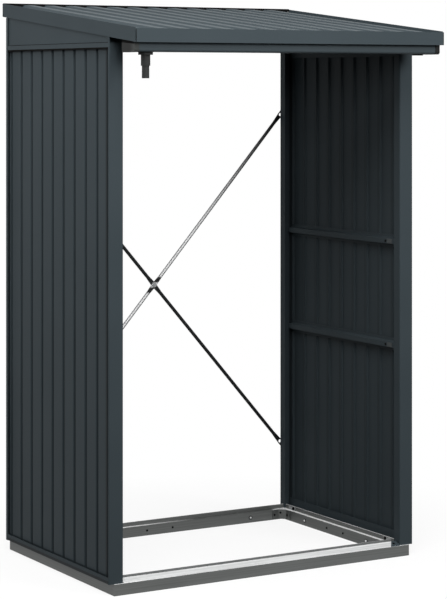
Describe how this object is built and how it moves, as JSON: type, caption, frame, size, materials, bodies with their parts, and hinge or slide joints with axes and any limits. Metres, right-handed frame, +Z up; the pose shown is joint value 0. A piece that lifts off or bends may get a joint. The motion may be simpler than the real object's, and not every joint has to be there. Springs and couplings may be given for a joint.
{
  "type": "log store",
  "caption": "Open-fronted lean-to log store with ribbed sheet-metal side walls, a floor frame, a sloping ribbed roof with a front gutter and a crossed brace at the back.",
  "frame": {"origin": "centre of the footprint of the whole store, on the ground", "axes": "+X to the right seen from the open front, +Y to the rear, +Z up"},
  "size_m": [1.232, 1.03, 1.99],
  "materials": {
    "painted_steel": "satin anthracite powder coat",
    "mill_aluminium": "grey mill-finish extrusion",
    "bright_aluminium": "bright drawn aluminium",
    "black_plastic": "moulded black plastic",
    "zinc_steel": "zinc plated, dark passivated"
  },
  "bodies": {
    "root": {"front_rail": "mill_aluminium", "rear_rail": "mill_aluminium", "left_rail": "mill_aluminium", "right_rail": "mill_aluminium", "corner_keys": "mill_aluminium", "front_sill": "bright_aluminium", "right_foot": "painted_steel", "left_front_post": "painted_steel", "right_front_post": "painted_steel", "left_rear_post": "painted_steel", "right_rear_post": "painted_steel", "left_bottom_rail": "painted_steel", "right_bottom_rail": "painted_steel", "left_wall": "painted_steel", "right_wall": "painted_steel", "left_top_rail": "painted_steel", "right_top_rail": "painted_steel", "left_gable": "painted_steel", "right_gable": "painted_steel", "left_inside_rails": "painted_steel", "right_inside_rails": "painted_steel", "front_beam": "painted_steel", "rear_beam": "painted_steel", "roof_sheet": "painted_steel", "front_fascia": "painted_steel", "rear_fascia": "painted_steel", "left_fascia": "painted_steel", "right_fascia": "painted_steel", "gutter": "painted_steel", "brace_brackets": "painted_steel", "gutter_caps": "black_plastic", "gutter_outlet": "black_plastic", "gutter_plug": "black_plastic", "rising_brace": "zinc_steel", "falling_brace": "zinc_steel", "brace_bolt": "zinc_steel"}
  },
  "joints": []
}
